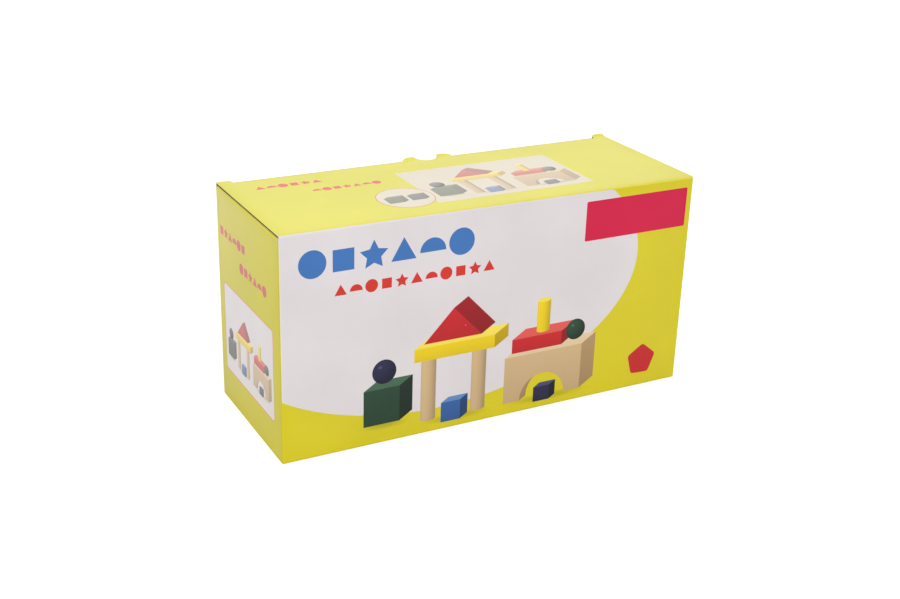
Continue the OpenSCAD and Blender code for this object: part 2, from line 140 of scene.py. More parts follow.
YELLOW = ink(220, 206, 34)
WHITE = ink(227, 220, 222)
CREAM = ink(226, 215, 194)
# Lighter, greener copy of the print's yellow for the lid's top: painted light
LID_LIT_YELLOW = ink(222, 214, 34)
# Darker copy of the print's yellow for the end walls: painted shade
END_SHADED_YELLOW = ink(208, 197, 30)
# Paler yellow on the lid's half of its front fold: painted sheen
LID_SHEEN_YELLOW = ink(226, 216, 84)
CRIMSON = ink(212, 8, 66)
PALE_CRIMSON = ink(206, 90, 96)
RED = ink(213, 50, 38)
PALE_RED = ink(222, 84, 66)
BLUE = ink(62, 116, 184)
BADGE_RED = ink(200, 36, 42)
TAN = [ink(206, 176, 132), ink(226, 202, 164), ink(176, 144, 102)]
REDS = [ink(200, 34, 40), ink(226, 92, 84), ink(150, 20, 28)]
YELLOWS = [ink(238, 206, 24), ink(248, 228, 92), ink(196, 164, 12)]
NAVIES = [ink(38, 38, 70), ink(72, 74, 112), ink(22, 22, 42)]
GREENS = [ink(38, 68, 50), ink(70, 104, 80), ink(22, 42, 32)]
BLUES = [ink(52, 96, 160), ink(98, 140, 194), ink(34, 66, 116)]


def bend(along, depth, low, high):
    """Runs a coordinate flat between low and high. Past a limit its length becomes an angle on the
    fold's radius, and the point moves on a circle of that radius less the point's own depth."""
    past = np.maximum(along - high, 0) - np.maximum(low - along, 0)
    turn = past / FOLD_R
    return np.clip(along, low, high) + (FOLD_R - depth) * np.sin(turn), np.cos(turn)


def wall(axes, start, inward, across_flat=FREE, along_flat=FREE):
    """Placing function of one wall of the carton. Its first coordinate runs across the flutes on axes[0]
    and its second along them on axes[1], each flat within its limits and bent round a fold past them.
    Depth runs inward on axes[2] from the outer face at start."""
    def place(across, along, depth):
        a, tilt_a = bend(across, depth, *across_flat)
        b, tilt_b = bend(along, depth, *along_flat)
        deep = depth + (FOLD_R - depth) * (1 - tilt_a * tilt_b)
        point = np.broadcast_arrays(a, b, start + inward * deep)
        return np.stack(point, -1)[..., np.argsort(axes)]
    return place


WALL_X = (-FOLD_X, FOLD_X)
WALL_Y = (-SIDE_Y + FOLD_R, SIDE_Y - FOLD_R)
FRONT_Z = (FOLD_R, FOLD_Z)
END_Z = (END_LOW + FOLD_R, FLAP_TOP - FOLD_R)
on_front = wall((0, 2, 1), -SIDE_Y, 1, WALL_X, FRONT_Z)
on_back = wall((0, 2, 1), SIDE_Y, -1, WALL_X, (FOLD_R, FAR))
on_left = wall((1, 2, 0), -END_X, 1, WALL_Y, END_Z)
on_right = wall((1, 2, 0), END_X, -1, WALL_Y, END_Z)
on_lid = wall((0, 1, 2), HEIGHT, -1)
on_tuck = wall((0, 2, 1), TUCK_Y, -1)
on_glue_flap = wall((1, 2, 0), -END_X + BOARD, 1)
on_dust_flap = wall((1, 0, 2), FLAP_TOP, -1)
on_bottom_front = wall((0, 1, 2), 0, 1, FREE, (WALL_Y[0], FAR))
on_bottom_back = wall((0, 1, 2), 0, 1, FREE, (-FAR, WALL_Y[1]))
on_bottom_left = wall((1, 0, 2), END_LOW, 1, FREE, (-FOLD_X, FAR))
on_bottom_right = wall((1, 0, 2), END_LOW, 1, FREE, (-FAR, FOLD_X))
on_lid_fold = wall((0, 2, 1), -SIDE_Y, 1, FREE, FRONT_Z)
on_tuck_fold = wall((0, 1, 2), HEIGHT, -1, FREE, (-FAR, FOLD_Y))
on_left_fold = wall((1, 2, 0), -END_X, 1, FREE, END_Z)
on_right_fold = wall((1, 2, 0), END_X, -1, FREE, END_Z)


def skin(points, quads, caps, kinds, tones, shade=None):
    """One closed solid of a piece: points, quads, many-sided caps, each face's kind and ink, and each
    point's shade. Its volume, summed over the tetrahedra between the origin and its faces, turns it the
    right way out."""
    corner = points[quads]
    volume = np.einsum("ij,ij->", corner[:, 0], np.cross(corner[:, 1], corner[:, 2]))
    volume += np.einsum("ij,ij->", corner[:, 0], np.cross(corner[:, 2], corner[:, 3]))
    for cap in caps:
        ring = points[cap]
        volume += np.einsum("j,ij->", ring[0], np.cross(ring[1:-1], ring[2:]))
    faces = quads.tolist() + [cap.tolist() for cap in caps]
    if volume < 0:
        faces = [face[::-1] for face in faces]
    shade = np.ones(len(points)) if shade is None else np.tile(shade.ravel(), 2)
    return points, faces, np.asarray(kinds), np.asarray(tones), shade


def shell(top, bottom, kinds, tone=YELLOW, shade=None, cell_tones=None):
    """Closed skin between two grids of points: each cell of a grid is a quad, and a ring of quads joins
    the grids' borders. The kinds are those of the top, the rim and the bottom."""
    rows, columns = top.shape[:2]
    under = rows * columns
    index = np.arange(under).reshape(rows, columns)
    cells = np.stack([index[:-1, :-1], index[1:, :-1], index[1:, 1:], index[:-1, 1:]], -1).reshape(-1, 4)
    ring = np.concatenate([index[0, :-1], index[:-1, -1], index[-1, :0:-1], index[:0:-1, 0]])
    after = np.roll(ring, -1)
    rim = np.stack([ring, after, after + under, ring + under], -1)
    points = np.concatenate([top.reshape(-1, 3), bottom.reshape(-1, 3)])
    quads = np.concatenate([cells, cells[:, ::-1] + under, rim])
    spread = np.repeat([kinds[0], kinds[2], kinds[1]], [len(cells), len(cells), len(rim)])
    tones = np.tile(tone, (len(quads), 1))
    if cell_tones is not None:
        tones[:len(cells)] = cell_tones.reshape(-1, 4)
    return skin(points, quads, [], spread, tones, shade)


def slab(place, outline, near, far, kinds, tone=YELLOW, shade=None):
    """Closed skin of one outline between two depths. The kinds are those of its near face, its rim and
    its far face."""
    count = len(outline)
    points = np.concatenate([place(outline[:, 0], outline[:, 1], depth) for depth in (near, far)])
    ring = np.arange(count)
    after = np.roll(ring, -1)
    rim = np.stack([ring, after, after + count, ring + count], -1)
    spread = np.concatenate([np.full(count, kinds[1]), [kinds[0], kinds[2]]])
    return skin(points, rim, [ring[::-1], ring + count], spread, np.tile(tone, (count + 2, 1)), shade)


def film(place, shape, level, tone, shade=None):
    """One printed shape, which stands a little proud of the board's face, more with its level. The shape
    is an outline or a grid of points, and the shade has a value for each of them."""
    near, far = PRINT_DEPTH - FILM_STEP * level, PRINT_DEPTH + FILM_ROOT
    kinds = (PRINTED,) * 3
    if shape.ndim == 2:
        return slab(place, shape, near, far, kinds, tone, shade)
    top, bottom = (place(shape[..., 0], shape[..., 1], depth) for depth in (near, far))
    return shell(top, bottom, kinds, tone, shade)


def fluting(place, outline, rows=()):
    """Wavy middle layer of the board. Across the flutes its depth is a sine about the board's middle. Each
    flute runs between the lowest and the highest edge of the outline at its place, and no further than
    its neighbours do, so that it stays inside where the outline steps."""
    start, end = outline[:, 0].min() + FLUTE_GAP, outline[:, 0].max() - FLUTE_GAP
    across = np.linspace(start, end, int((end - start) / FLUTE_PITCH * 8) + 2)
    after = np.roll(outline, -1, 0)
    run = after[:, 0] - outline[:, 0]
    slanted = np.abs(run) > 1e-6
    share = (across[:, None] - outline[:, 0]) / np.where(slanted, run, 1)
    edge = outline[:, 1] + share * (after[:, 1] - outline[:, 1])
    met = slanted & (share >= 0) & (share <= 1)
    first = np.pad(np.where(met, edge, np.inf).min(1), 1, "edge")
    last = np.pad(np.where(met, edge, -np.inf).max(1), 1, "edge")
    first = np.lib.stride_tricks.sliding_window_view(first, 3).max(-1) + FLUTE_GAP
    last = np.lib.stride_tricks.sliding_window_view(last, 3).min(-1) - FLUTE_GAP
    stations = np.array([first.min(), *rows, last.max()])
    along = np.clip(stations[:, None], first, last)
    wave = BOARD / 2 + FLUTE_RISE * np.sin(2 * math.pi * across / FLUTE_PITCH)
    return shell(place(across, along, wave - MEDIUM / 2), place(across, along, wave + MEDIUM / 2),
                 (FLUTED,) * 3)


def board(place, outline, tone=YELLOW):
    """Flat corrugated panel: an outer and an inner liner cut to one outline, and the fluting between."""
    return [slab(place, outline, PRINT_DEPTH, LINER, (PRINTED, CUT, FLUTED), tone),
            slab(place, outline, INNER_LINER, BOARD, (FLUTED, CUT, INSIDE)),
            fluting(place, outline)]


def bent_board(place, across, grid, tone=YELLOW):
    """Corrugated panel with bent borders: two liners on a grid of stations, whose rows give each column its
    place along the flutes, and the fluting between."""
    outline = np.concatenate([np.stack([across, grid[0]], -1), np.stack([across, grid[-1]], -1)[::-1]])
    faces = [place(across, grid, depth) for depth in (PRINT_DEPTH, LINER, INNER_LINER, BOARD)]
    return [shell(faces[0], faces[1], (PRINTED, CUT, FLUTED), tone),
            shell(faces[2], faces[3], (FLUTED, CUT, INSIDE)),
            fluting(place, outline, grid[1:-1].max(1))]


def placed(name, data):
    """New object in the scene."""
    made = bpy.data.objects.new(name, data)
    bpy.context.scene.collection.objects.link(made)
    return made


def add_piece(name, skins, body, stands_for, materials=None, across_axis=0):
    """Object made of closed skins, with the ink and the place across the flutes as attributes."""
    offsets = np.cumsum([0] + [len(part[0]) for part in skins[:-1]])
    points = np.concatenate([part[0] for part in skins])
    faces = [[i + shift for i in face] for part, shift in zip(skins, offsets.tolist()) for face in part[1]]
    mesh = bpy.data.meshes.new(name)
    mesh.from_pydata((points / 1000).tolist(), [], faces)
    for material in materials or BOARD_LAYERS:
        mesh.materials.append(material)
    mesh.polygons.foreach_set("material_index", np.concatenate([part[2] for part in skins]))
    sides = np.empty(len(faces), np.int32)
    mesh.polygons.foreach_get("loop_total", sides)
    inks = np.repeat(np.concatenate([part[3] for part in skins]), sides, axis=0)
    mesh.color_attributes.new("ink", "FLOAT_COLOR", "CORNER").data.foreach_set("color", inks.ravel())
    shade = np.concatenate([part[4] for part in skins])
    for label, values in (("across", points[:, across_axis]), ("shade", shade)):
        mesh.attributes.new(label, "FLOAT", "POINT").data.foreach_set("value", values)
    mesh.shade_smooth()
    mesh.set_sharp_from_angle(angle=math.radians(35))
    piece = placed(name, mesh)
    if body:
        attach(piece, body)
        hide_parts(*stands_for)
    return piece


# Shader nodes

def feed(tree, node, inputs):
    """Gives a node's inputs plain values or other nodes' outputs."""
    for key, value in inputs.items():
        if isinstance(value, bpy.types.NodeSocket):
            tree.links.new(value, node.inputs[key])
        else:
            node.inputs[key].default_value = value


def add(tree, kind, inputs=None, **settings):
    """New node of a tree."""
    made = tree.nodes.new("ShaderNode" + kind)
    for key, value in settings.items():
        setattr(made, key, value)
    feed(tree, made, inputs or {})
    return made


def calc(tree, operation, *values):
    """Output of a Math node."""
    return add(tree, "Math", dict(enumerate(values)), operation=operation).outputs[0]


def ease(tree, value, low, high, to_low=0.0, to_high=1.0):
    """Value carried smoothly from low..high to to_low..to_high."""
    inputs = {"Value": value, "From Min": low, "From Max": high, "To Min": to_low, "To Max": to_high}
    return add(tree, "MapRange", inputs, interpolation_type="SMOOTHSTEP").outputs[0]


def mix(tree, factor, first, second):
    """Two colours mixed by a factor."""
    return add(tree, "Mix", {0: factor, 6: first, 7: second}, data_type="RGBA").outputs[2]


def noise(tree, vector, scale, detail=3.0, rough=0.5):
    """Noise over a vector, from 0 to 1."""
    inputs = {"Vector": vector, "Scale": scale, "Detail": detail, "Roughness": rough}
    return add(tree, "TexNoise", inputs).outputs[0]


def here(tree):
    """Object coordinates, in metres."""
    return add(tree, "TexCoord").outputs["Object"]


def mapped(tree, vector, way, value):
    """Vector changed by a Mapping node's Scale or Rotation."""
    return add(tree, "Mapping", {"Vector": vector, way: value}).outputs[0]


def scaled(tree, vector, factor):
    """Vector or colour times a number."""
    return add(tree, "VectorMath", {0: vector, "Scale": factor}, operation="SCALE").outputs[0]


def attribute(tree, name, output="Fac"):
    """A piece's own attribute."""
    return add(tree, "Attribute", attribute_name=name).outputs[output]


def new_group(name, inputs, outputs):
    """Empty shader node group with inputs of given defaults and with numbers for outputs. With it come
    what its inputs give and its last node."""
    tree = bpy.data.node_groups.new(name, "ShaderNodeTree")
    for label, value in inputs.items():
        kind = "NodeSocketFloat" if isinstance(value, float) else "NodeSocketVector"
        tree.interface.new_socket(label, in_out="INPUT", socket_type=kind).default_value = value
    for label in outputs:
        tree.interface.new_socket(label, in_out="OUTPUT", socket_type="NodeSocketFloat")
    return tree, tree.nodes.new("NodeGroupInput").outputs, tree.nodes.new("NodeGroupOutput")


def use(tree, group, inputs=None):
    """Outputs of a placed group."""
    return add(tree, "Group", inputs, node_tree=group).outputs


def edge_wear_group():
    """Rubbed paper along the carton's edges. On a face of the carton one of the distances to the outer
    planes is nothing, so the middle one of the three is the distance to the nearest edge. A fine noise
    breaks the worn line up. The varnish on the print thins out towards the folds."""
    tree, _, made = new_group("edge_wear", {}, ["Mask", "Varnish"])
    size = add(tree, "VectorMath", {0: scaled(tree, here(tree), 1000.0)}, operation="ABSOLUTE").outputs[0]
    x, y, z = add(tree, "SeparateXYZ", {0: size}).outputs
    from_end = calc(tree, "SUBTRACT", END_X, x)
    from_side = calc(tree, "SUBTRACT", SIDE_Y, y)
    from_top = calc(tree, "MINIMUM", calc(tree, "SUBTRACT", HEIGHT, z), z)
    small = calc(tree, "MINIMUM", from_end, from_side)
    large = calc(tree, "MAXIMUM", from_end, from_side)
    near = calc(tree, "MAXIMUM", small, calc(tree, "MINIMUM", large, from_top))
    patchy = calc(tree, "MULTIPLY_ADD", noise(tree, here(tree), 35.0, 2.0), 0.5,
                  noise(tree, here(tree), 700.0, 4.0, 0.7))
    worn = calc(tree, "SUBTRACT", patchy, calc(tree, "MULTIPLY", near, 0.28 / WEAR_REACH))
    feed(tree, made, {"Mask": ease(tree, worn, 0.8, 0.92), "Varnish": ease(tree, near, *VARNISH_START)})
    return tree


def paper_group():
    """Surface of paper: a broad mottle, fine fibres, and few small specks."""
    tree, given, made = new_group("paper", {"Fibre scale": 1.0}, ["Tone", "Height", "Specks"])
    fine = mapped(tree, here(tree), "Scale", (900, 900, 900))
    fibre = noise(tree, fine, given["Fibre scale"], 4.0, 0.6)
    broad = noise(tree, here(tree), 14.0, 3.0)
    spots = add(tree, "TexVoronoi", {"Vector": here(tree), "Scale": 95.0}).outputs["Distance"]
    gate = calc(tree, "GREATER_THAN", noise(tree, here(tree), 60.0, 2.0), 0.6)
    speck = calc(tree, "MULTIPLY", calc(tree, "LESS_THAN", spots, 0.055), gate)
    feed(tree, made, {"Tone": ease(tree, broad, 0.3, 0.7, 0.965, 1.02), "Height": fibre, "Specks": speck})
    return tree


def washboard_group():
    """Faint ridges of the flutes under the paper: a sine of the place across them."""
    tree, given, made = new_group("washboard", {"Across": 0.0}, ["Ridge"])
    turn = calc(tree, "MULTIPLY", given["Across"], 2 * math.pi / FLUTE_PITCH)
    ridge = calc(tree, "MULTIPLY_ADD", calc(tree, "SINE", turn), 0.5, 0.5)
    strength = ease(tree, noise(tree, here(tree), 9.0, 2.0), 0.35, 0.65, 0.35, 1.0)
    feed(tree, made, {"Ridge": calc(tree, "MULTIPLY", ridge, strength)})
    return tree


def wood_group():
    """Straight-grained beech: a broad figure and fine fibres are noises that are long along the grain,
    and the short dark flecks are where a third one peaks."""
    tree, given, made = new_group("wood", {"Vector": (0, 0, 0)}, ["Tone", "Height", "Flecks"])

    def long_noise(scale, detail=3.0):
        return noise(tree, mapped(tree, given["Vector"], "Scale", scale), 1.0, detail, 0.55)

    figure = long_noise((5, 75, 75))
    fibre = long_noise((26, 900, 900))
    flecks = ease(tree, long_noise((160, 1300, 1300), 1.0), 0.66, 0.72)
    tone = calc(tree, "MULTIPLY_ADD", fibre, 0.35, figure)
    feed(tree, made, {"Tone": tone, "Height": fibre, "Flecks": flecks})
    return tree


# How far rubbing reaches from an edge, and where the varnish starts and is whole
WEAR_REACH = 1.5
VARNISH_START = (1.0, 11.0)

EDGE_WEAR = edge_wear_group()
PAPER = paper_group()
WASHBOARD = washboard_group()
WOOD = wood_group()


def new_material(name):
    """Material with an empty Principled shader."""
    made = bpy.data.materials.new(name)
    made.use_nodes = True
    return made, made.node_tree, made.node_tree.nodes["Principled BSDF"]


def bump(tree, height, distance, normal=None):
    """Normal raised by a height, at a distance in metres."""
    inputs = {"Height": height, "Distance": distance, "Strength": 1.0}
    if normal is not None:
        inputs["Normal"] = normal
    return add(tree, "Bump", inputs).outputs[0]


def toned(colour, share):
    """Colour made lighter or darker by a share."""
    return (*[min(c * share, 1) for c in colour[:3]], 1)


def printed_material():
    """Printed and varnished face of the board, in the piece's own inks."""
    made, tree, shader = new_material("printed_board")
    paper = use(tree, PAPER)
    edge = use(tree, EDGE_WEAR)
    ridge = use(tree, WASHBOARD, {"Across": attribute(tree, "across")})["Ridge"]
    tone = calc(tree, "MULTIPLY", paper["Tone"], ease(tree, ridge, 0.0, 1.0, 0.995, 1.005))
    tone = calc(tree, "MULTIPLY", tone, attribute(tree, "shade"))
    colour = scaled(tree, attribute(tree, "ink", "Color"), tone)
    colour = mix(tree, calc(tree, "MULTIPLY", paper["Specks"], 0.35), colour, (0.8, 0.78, 0.7, 1))
    colour = mix(tree, calc(tree, "MULTIPLY", edge["Mask"], 0.75), colour, (0.78, 0.74, 0.64, 1))
    rough = calc(tree, "MULTIPLY_ADD", paper["Height"], 0.12, 0.26)
    feed(tree, shader, {"Base Color": colour,
                        "Roughness": calc(tree, "MULTIPLY_ADD", edge["Mask"], 0.25, rough),
                        "Specular IOR Level": 0.18,
                        "Coat Weight": calc(tree, "MULTIPLY", edge["Varnish"], 0.2),
                        "Coat Roughness": 0.3,
                        "Normal": bump(tree, paper["Height"], 0.000012, bump(tree, ridge, 0.000016))})
    return made


def paper_material(name, colour, spread, distance):
    """Bare paper: a colour that the mottle spreads, with fibres raised by a distance."""
    made, tree, shader = new_material(name)
    paper = use(tree, PAPER, {"Fibre scale": 0.8})
    fibre = ease(tree, paper["Height"], 0.25, 0.75)
    shade = mix(tree, fibre, toned(colour, 1 - spread), toned(colour, 1 + spread))
    shade = mix(tree, calc(tree, "MULTIPLY", paper["Specks"], 0.5), shade, (0.25, 0.2, 0.15, 1))
    feed(tree, shader, {"Base Color": shade,
                        "Roughness": calc(tree, "MULTIPLY_ADD", fibre, 0.12, 0.8),
                        "Normal": bump(tree, paper["Height"], distance)})
    return made


def grained(tree, grain):
    """Wood whose grain runs along axis 0, 1 or 2 of the object."""
    turn = ((0, 0, 0), (0, 0, -math.pi / 2), (0, math.pi / 2, 0))[grain]
    return use(tree, WOOD, {"Vector": mapped(tree, here(tree), "Rotation", turn)})


def wood_material(name, grain, light, dark, rough=0.48):
    """Sanded and thinly varnished wood."""
    made, tree, shader = new_material(name)
    wood = grained(tree, grain)
    colour = mix(tree, ease(tree, wood["Tone"], 0.45, 0.9), dark, light)
    colour = mix(tree, calc(tree, "MULTIPLY", wood["Flecks"], 0.45), colour, toned(dark, 0.5))
    feed(tree, shader, {"Base Color": colour,
                        "Roughness": calc(tree, "MULTIPLY_ADD", wood["Height"], 0.14, rough - 0.07),
                        "Normal": bump(tree, wood["Height"], 0.00003)})
    return made


def lacquer_material(name, colour, grain):
    """Sprayed lacquer on wood, through which the grain shows a little."""
    made, tree, shader = new_material(name)
    wood = grained(tree, grain)
    peel = noise(tree, here(tree), 420.0, 1.0)
    tone = mix(tree, ease(tree, wood["Tone"], 0.45, 0.9), toned(colour, 0.86), toned(colour, 1.12))
    feed(tree, shader, {"Base Color": tone,
                        "Roughness": calc(tree, "MULTIPLY_ADD", peel, 0.1, 0.2),
                        "Coat Weight": 0.35,
                        "Coat Roughness": 0.12,
                        "Normal": bump(tree, wood["Height"], 0.00002, bump(tree, peel, 0.00002))})
    return made


def steel_material():
    """Zinc-plated screw: a cool grey with a cloudy roughness."""
    made, tree, shader = new_material("screw_steel")
    cloud = noise(tree, here(tree), 300.0, 3.0)
    feed(tree, shader, {"Base Color": mix(tree, cloud, (0.5, 0.51, 0.52, 1), (0.68, 0.68, 0.67, 1)),
                        "Roughness": calc(tree, "MULTIPLY_ADD", cloud, 0.2, 0.25),
                        "Metallic": 1.0})
    return made


PRINT = printed_material()
CUT_PAPER = paper_material("cut_paper", (0.7, 0.66, 0.58), 0.12, 0.00003)
LINER_PAPER = paper_material("liner_paper", (0.56, 0.52, 0.46), 0.09, 0.00004)
# Brown paper of the fluting, made darker than kraft as painted shade between the liners
FLUTE_PAPER_AND_SHADE = paper_material("flute_paper_and_shade", (0.17, 0.12, 0.085), 0.18, 0.00005)
BOARD_LAYERS = [PRINT, CUT_PAPER, LINER_PAPER, FLUTE_PAPER_AND_SHADE]
RIM_LAYERS = [PRINT, CUT_PAPER, LINER_PAPER, LINER_PAPER]
PLAIN_LAYERS = [LINER_PAPER, CUT_PAPER, LINER_PAPER, FLUTE_PAPER_AND_SHADE]


# Printed shapes, as outlines across and up a face

def rectangle(left, low, right, high):
    """Four corners, the lower left one first."""
    return np.array([[left, low], [right, low], [right, high], [left, high]], float)


def polar(x, y, radius, turn):
    """Points round a middle: to it come a radius times the cosine and times the sine of each angle."""
    return np.stack([x + radius * np.cos(turn), y + radius * np.sin(turn)], -1)


def rounded_rectangle(left, low, right, high, radius):
    """Rectangle whose corners are quarter circles."""
    steps = 6
    turn = np.linspace(0, math.pi / 2, steps) + np.arange(4)[:, None] * math.pi / 2
    middle_x = np.repeat([right - radius, left + radius, left + radius, right - radius], steps)
    middle_y = np.repeat([high - radius, high - radius, low + radius, low + radius], steps)
    return polar(middle_x, middle_y, radius, turn.ravel())


def regular(x, y, radius, sides, turn=0.0):
    """Regular polygon; with many sides it is a disc."""
    return polar(x, y, radius, np.arange(sides) * 2 * math.pi / sides + math.radians(turn))


def soft_polygon(x, y, radius, sides, turn, corner):
    """Regular polygon with round corners: each is an arc about a point a little in from the corner."""
    swing = np.linspace(-math.pi / sides, math.pi / sides, 5)
    angle = np.arange(sides)[:, None] * 2 * math.pi / sides + math.radians(turn)
    middle = polar(x, y, radius - corner, angle)
    return polar(middle[..., 0], middle[..., 1], corner, angle + swing).reshape(-1, 2)


def arc(x, y, radius, start, end):
    """Points on a circle between two angles in degrees."""
    return polar(x, y, radius, np.radians(np.linspace(start, end, 25)))


def star(x, y, radius, tips):
    """Star: the radius alternates between its tips and its notches."""
    angle = np.arange(2 * tips) * math.pi / tips + math.pi / 2
    return polar(x, y, radius * np.tile([1.0, 0.5], tips), angle)


def graded(points, low, high):
    """Shade that rises evenly up a shape, from low at its foot to high at its top."""
    foot = points[..., 1].min()
    return low + (high - low) * (points[..., 1] - foot) / (points[..., 1].max() - foot)


def disc(x, y, wide, tall, steps=13):
    """Grid of points on an ellipse: a square grid pulled round, u by the root of 1 less half of v squared,
    and v by the same of u. With it come the grid's places on the unit disc."""
    u, v = np.meshgrid(np.linspace(-1, 1, steps), np.linspace(-1, 1, steps))
    round_u, round_v = u * np.sqrt(1 - v * v / 2), v * np.sqrt(1 - u * u / 2)
    return np.stack([x + wide * round_u, y + tall * round_v], -1), round_u, round_v


def soft_shadow(x, y, wide, tall, paper, depth=0.3):
    """Shadow under a printed block: the paper's own tone, darker towards the middle of an ellipse by the
    square of 1 less the squared distance from it."""
    points, u, v = disc(x, y, wide, tall)
    return points, 2, paper, 1 - depth * np.clip(1 - u * u - v * v, 0, 1) ** 2


# How far a block's back lies to the right and up in its picture, for each unit of its depth
TO_THE_BACK = np.array([0.5, 0.32])


def cuboid(x, y, w, h, d, tones, level=3):
    """Toy block in oblique projection: front, top and right side, in three tones."""
    back = TO_THE_BACK * d
    front = rectangle(x, y, x + w, y + h)
    low_right, high_right, high_left = front[1:]
    top = np.array([high_left, high_right, high_right + back, high_left + back])
    side = np.array([low_right, low_right + back, high_right + back, high_right])
    return [(front, level, tones[0], graded(front, 0.9, 1.06)),
            (top, level, tones[1], graded(top, 1.0, 1.05)),
            (side, level, tones[2], graded(side, 0.86, 1.08))]


def wedge(x, y, w, h, d, tones, level=3):
    """Roof block: a triangle in front and its right slope behind."""
    front = np.array([[x, y], [x + w, y], [x + w / 2, y + h]])
    right, tip = front[1:]
    back = TO_THE_BACK * d
    slope = np.array([right, right + back, tip + back, tip])
    return [(front, level, tones[0], graded(front, 0.9, 1.08)),
            (slope, level, tones[2], graded(slope, 0.9, 1.2))]


def arch(x, y, w, h, d, hole, tones, level=4):
    """Bridge block: a front with a round opening, a top, a side, and a little of the opening's inside."""
    middle = x + w / 2
    opening = arc(middle, y, hole, 180, 0)
    front = np.concatenate([[[x, y]], opening, [[x + w, y], [x + w, y + h], [x, y + h]]])
    inside = opening[:8]
    inner = np.concatenate([inside, (inside + np.array([0.22, 0.14]) * d)[::-1]])
    block = cuboid(x, y, w, h, d, tones, level)
    return [(front, level, tones[0], graded(front, 0.9, 1.06)),
            (inner, level - 1, tones[2], graded(inner, 0.8, 0.95)), block[1], block[2]]


def ball(x, y, radius, tones, level=4):
    """Round bead: its shade is the cosine between a sphere's normal and the light, from the upper left. A
    small bright spot lies on it."""
    points, u, v = disc(x, y, radius, radius)
    lit = -0.45 * u + 0.6 * v + 0.66 * np.sqrt(np.clip(1 - u * u - v * v, 0, 1))
    spot = disc(x - 0.33 * radius, y + 0.4 * radius, 0.17 * radius, 0.13 * radius, 5)[0]
    return [(points, level, tones[0], 0.5 + 0.75 * np.clip(lit, 0, 1)), (spot, level + 1, tones[1], None)]


def column(x, y, w, h, tones, level=3):
    """Round pillar block: a body whose shade is that of a cylinder lit from the left, and an elliptic top."""
    turn = np.linspace(math.pi, 0, 13)
    foot = np.stack([x + w / 2 + w / 2 * np.cos(turn), y - 0.16 * w * np.sin(turn)], -1)
    body = np.stack([foot, foot + np.array([0, h])])
    lit = 0.68 + 0.42 * np.clip(np.cos(turn - math.radians(125)), 0, 1)
    return [(body, level, tones[0], np.stack([lit * 0.95, lit])),
            (disc(x + w / 2, y + h, w / 2, 0.16 * w, 7)[0], level + 1, tones[1], None)]


def block_picture(paper):
    """Toy building blocks, 200 wide and 120 high: a gate, a bridge, a tower, beads and cubes, and the
    shadows that they throw on the paper."""
    shapes = [soft_shadow(x, y, wide, 4.5, paper)
              for x, y, wide in ((18, 9, 24), (79, 3, 36), (163, 3, 46))]
    shapes += cuboid(0, 10, 30, 30, 22, GREENS)
    shapes += ball(17, 54, 10, NAVIES)
    shapes += column(48, 6, 13, 52, TAN)
    shapes += column(92, 6, 13, 52, TAN)
    shapes += cuboid(42, 56, 70, 11, 24, YELLOWS, 5)
    shapes += wedge(50, 70, 50, 26, 24, REDS, 6)
    shapes += cuboid(66, 0, 17, 17, 13, BLUES)
    shapes += arch(122, 4, 72, 40, 26, 21, TAN)
    shapes += cuboid(128, 47, 46, 12, 24, REDS, 5)
    shapes += column(150, 63, 12, 26, YELLOWS, 6)
    shapes += ball(187, 58, 9, GREENS, 6)
    shapes += cuboid(150, 0, 15, 13, 11, NAVIES, 5)
    return shapes


def picture(place, left, low, scale, paper, first=0, fade=0.0, shapes=None):
    """Blocks drawn on a face at a scale, with their lower left corner at a point, from a first level
    upwards, and faded towards the paper's tone."""
    return [film(place, shape * scale + np.array([left, low]), level + first,
                 tone + (paper - tone) * fade, shade)
            for shape, level, tone, shade in shapes or block_picture(paper)]


def shape_row(place, left, right, low, high, count, tone, seed=0):
    """Row of plain shapes, evenly spaced, whose kinds take turns."""
    radius = min((high - low) / 2, (right - left) / count / 2 * 0.9)
    middle = (low + high) / 2
    drawn = []
    for i in range(count):
        x = left + (right - left) * (i + 0.5) / count
        kinds = (regular(x, middle, radius, 40),
                 regular(x, middle - 0.15 * radius, radius * 1.1, 3, 90),
                 regular(x, middle, radius * 1.1, 4, 45),
                 arc(x, middle - 0.4 * radius, radius, 0, 180),
                 star(x, middle, radius * 1.1, 5))
        drawn.append(film(place, kinds[(i * 2 + seed) % 5], 2, tone))
    return drawn


def from_left(place, half, side=1):
    """Placing function whose way across starts at a face's left edge as seen from outside. The side is -1
    where the face's own axis runs to the left."""
    return lambda across, along, depth: place(side * (across - half), along, depth)


def long_wall_print(place, side, top):
    """Print of a long wall: a white oval field on yellow, two rows of shapes, a label, a badge and blocks.
    The field is a grid of two rows on an ellipse. It runs round the fold at its left and is cut off at
    the top, whose height is a function of the way from the left."""
    drawn_on = from_left(place, END_X, side)
    angle = np.linspace(0, math.acos((FOLD_R - FIELD_X) / FIELD_WIDE), 120)
    u = np.concatenate([FIELD_X + FIELD_WIDE * np.cos(angle),
                        np.linspace(FOLD_R, FOLD_R - HALF_FOLD, 6)[1:]])
    half = FIELD_TALL * np.sqrt(np.clip(1 - ((u - FIELD_X) / FIELD_WIDE) ** 2, 0, 1))
    field = np.stack([np.stack([u, FIELD_Z - half], -1),
                      np.stack([u, np.minimum(FIELD_Z + half, top(u))], -1)])
    drawn = [film(drawn_on, field, 1, WHITE)]
    drawn += shape_row(drawn_on, 13, 154, 139.5, 164.5, 6, BLUE)
    drawn += shape_row(drawn_on, 40, 172, 124, 134, 11, RED, 1)
    drawn.append(film(drawn_on, rounded_rectangle(250, 135.7, 344.5, 167.8, 1.2), 2, CRIMSON))
    drawn.append(film(drawn_on, soft_polygon(313.8, 23.4, 13.6, 5, 87, 3.2), 2, BADGE_RED))
    return drawn + picture(drawn_on, 64, 6, 0.98, YELLOW)


